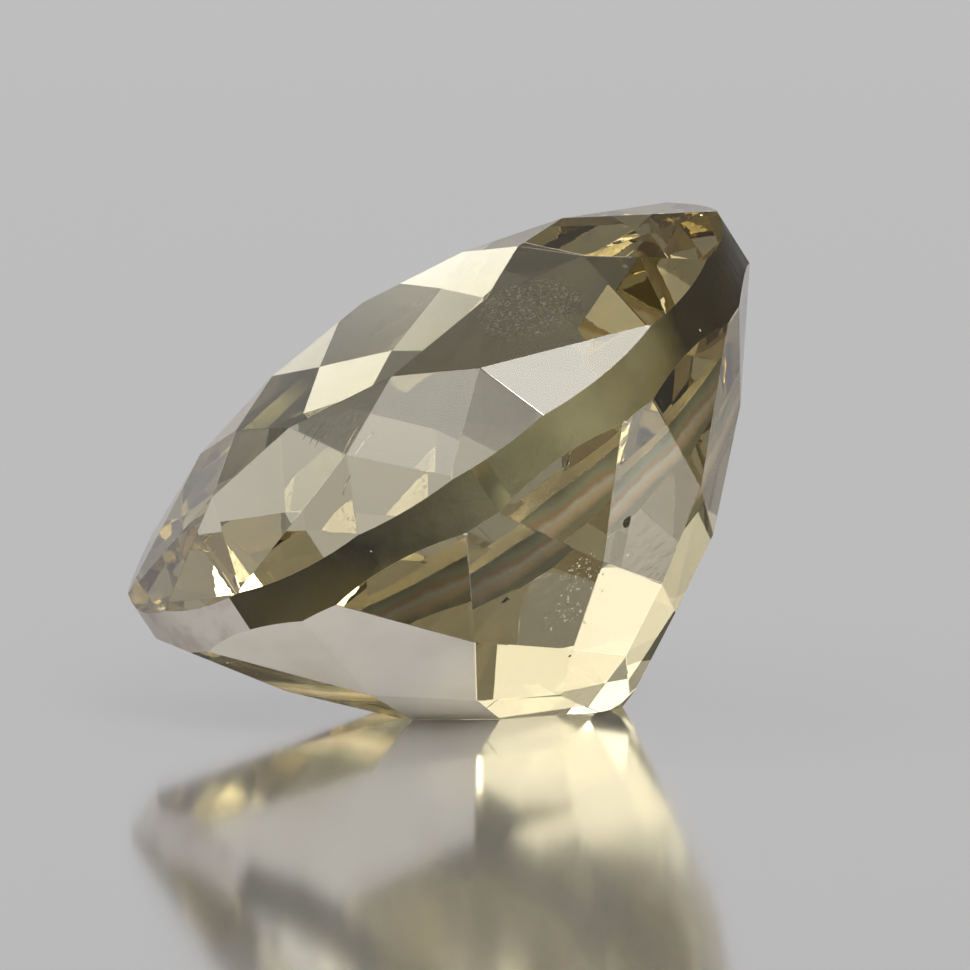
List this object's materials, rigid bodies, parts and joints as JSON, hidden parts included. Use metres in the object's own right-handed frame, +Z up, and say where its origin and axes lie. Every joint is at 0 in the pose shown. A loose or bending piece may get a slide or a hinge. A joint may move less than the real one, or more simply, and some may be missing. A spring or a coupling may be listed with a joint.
{
  "type": "faceted gemstone",
  "caption": "Loose oval gemstone cut from clear olive-yellow diaspore, tall tiered pavilion below a frosted girdle, lying on a lower facet.",
  "frame": {"origin": "centre of the stone's box in plan, at the height of the surface it lies on", "axes": "+Z up, away from the resting facet; -Y towards the viewer of the picture; +X to the viewer's right, the side the raised end of the girdle is on"},
  "size_m": [0.0124, 0.0124, 0.0101],
  "materials": {
    "gem_crystal": "polished clear olive-yellow crystal with a frosted girdle"
  },
  "bodies": {
    "root": {"cut_gemstone": "gem_crystal"}
  },
  "joints": []
}
